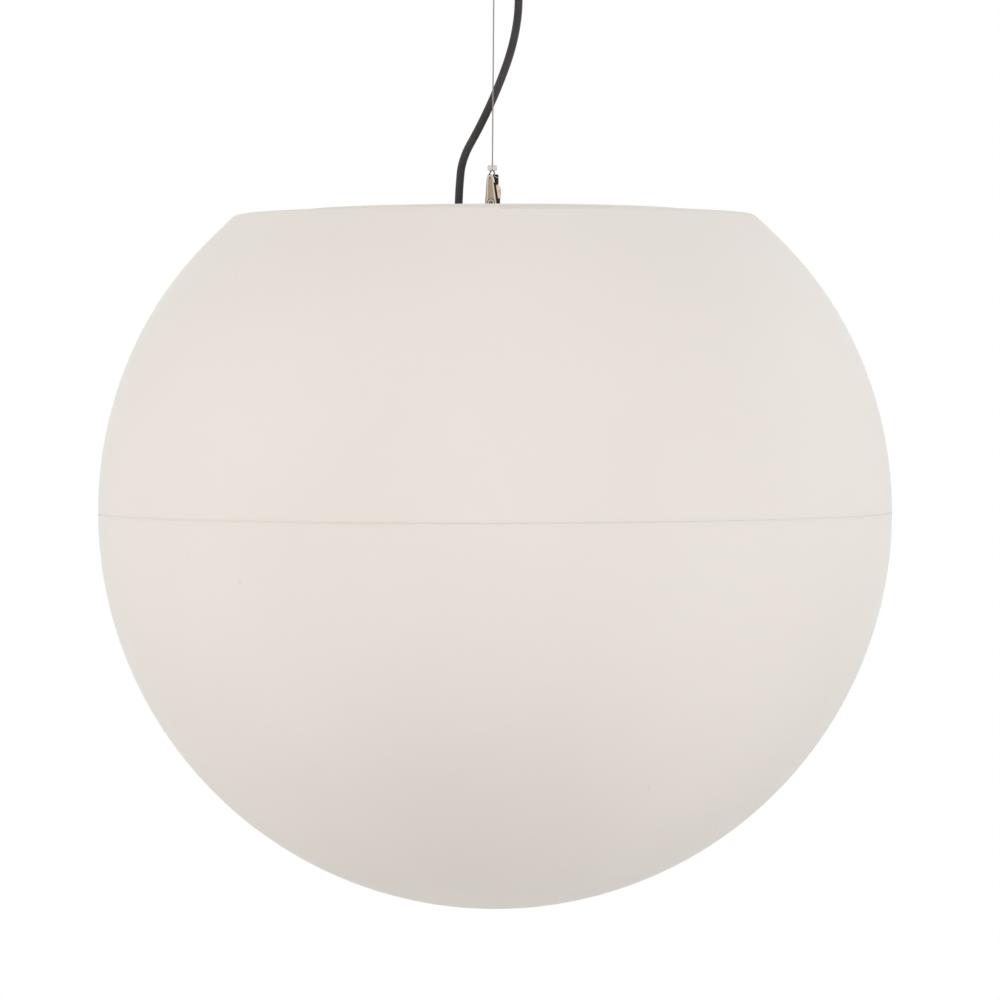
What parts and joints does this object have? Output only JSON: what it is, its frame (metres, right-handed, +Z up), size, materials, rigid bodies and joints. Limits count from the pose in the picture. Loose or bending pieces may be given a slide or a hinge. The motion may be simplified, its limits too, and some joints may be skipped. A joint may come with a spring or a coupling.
{
  "type": "hanging garden globe light",
  "caption": "Large white flat-topped globe light in two twist-locked shells, hung by a thin steel wire and a snap clip, with a black mains cable rising to a ceiling cup.",
  "frame": {"origin": "middle of the ceiling bracket's two screw slots, on the ceiling face, above the globe's centre", "axes": "+Z up, out of the ceiling face; +X to the right and +Y away, as seen by a viewer in front; the light hangs in -Z"},
  "size_m": [0.6, 0.6, 0.75],
  "materials": {
    "shell_plastic": "rotomoulded white polyethylene with a fine satin grain",
    "dish_plastic": "white polyethylene, satin",
    "seal_rubber": "light grey silicone rubber",
    "cup_paint": "white powder coat, fine texture",
    "zinc_steel": "bright zinc plate",
    "wire_steel": "stainless wire",
    "clip_steel": "nickel plate with a warm tan cast",
    "pin_steel": "dark steel",
    "bead_plastic": "clear polycarbonate",
    "cable_rubber": "black rubber mains flex",
    "gland_plastic": "black polyamide",
    "terminal_plastic": "white polyamide",
    "brass": "plain brass",
    "live_core": "brown core insulation",
    "neutral_core": "blue core insulation",
    "holder_plastic": "black thermoset",
    "cap_aluminium": "drawn sheet",
    "bulb_plastic": "white plastic housing",
    "bulb_glass": "frosted white diffuser"
  },
  "bodies": {
    "ceiling": {"ceiling_bracket": "zinc_steel", "canopy_seal": "seal_rubber", "canopy": "cup_paint", "canopy_screws": "zinc_steel", "ceiling_hook": "zinc_steel", "hook_nut": "zinc_steel", "cable_grommet": "gland_plastic", "cord_grip": "terminal_plastic", "grip_screws": "zinc_steel", "terminal_block": "terminal_plastic", "terminal_screws": "brass", "supply_live": "live_core", "supply_neutral": "neutral_core"},
    "pendant": {"upper_loop": "wire_steel", "upper_sleeve": "cap_aluminium", "suspension_wire": "wire_steel", "wire_bead": "bead_plastic", "lower_loop": "wire_steel", "clip_body": "clip_steel", "clip_tail_pin": "pin_steel", "clip_pin": "pin_steel", "clip_spring": "zinc_steel", "power_cable": "cable_rubber", "gland_body": "gland_plastic", "gland_nut": "gland_plastic", "gland_seal": "cable_rubber", "gland_locknut": "gland_plastic", "cable_tail": "cable_rubber", "lead_live": "live_core", "lead_neutral": "neutral_core", "top_dish": "dish_plastic", "dish_gasket": "seal_rubber", "dish_screws": "zinc_steel", "backing_ring": "zinc_steel", "eye_bolt": "zinc_steel", "eye_washer": "zinc_steel", "eye_nut": "zinc_steel", "upper_shell": "shell_plastic", "holder_carrier": "zinc_steel", "carrier_screws": "zinc_steel", "holder_stem": "zinc_steel", "stem_nut": "zinc_steel", "holder_cap": "holder_plastic", "holder_core": "terminal_plastic", "holder_skirt": "holder_plastic", "screw_shell": "brass", "centre_contact": "brass"},
    "keeper": {"clip_keeper": "clip_steel"},
    "lower_globe": {"lower_shell": "shell_plastic", "seam_gasket": "seal_rubber"},
    "bulb": {"bulb_tip": "brass", "bulb_insulator": "holder_plastic", "bulb_cap": "cap_aluminium", "bulb_body": "bulb_plastic", "bulb_glass": "bulb_glass"}
  },
  "joints": [
    {"name": "swing", "type": "hinge", "parent": "ceiling", "child": "pendant", "pos_m": [0, 0, -0.023], "axis": [0, 1, 0], "range_deg": [-10, 10], "deforming": ["power_cable"]},
    {"name": "clip_keeper_open", "type": "hinge", "parent": "pendant", "child": "keeper", "pos_m": [-0.0027, 0, -0.2159], "axis": [0, 1, 0], "range_deg": [0, 20], "stiffness_Nm_per_rad": 0.01, "springref_deg": -40.11, "deforming": ["clip_spring"]},
    {"name": "lower_shell_twist", "type": "hinge", "parent": "pendant", "child": "lower_globe", "pos_m": [0, 0, -0.45], "axis": [0, 0, 1], "range_deg": [-17, 0]},
    {"name": "bulb_unscrew", "type": "hinge", "parent": "pendant", "child": "bulb", "pos_m": [0, 0, -0.34], "axis": [0, 0, 1], "range_deg": [-1080, 0]}
  ]
}
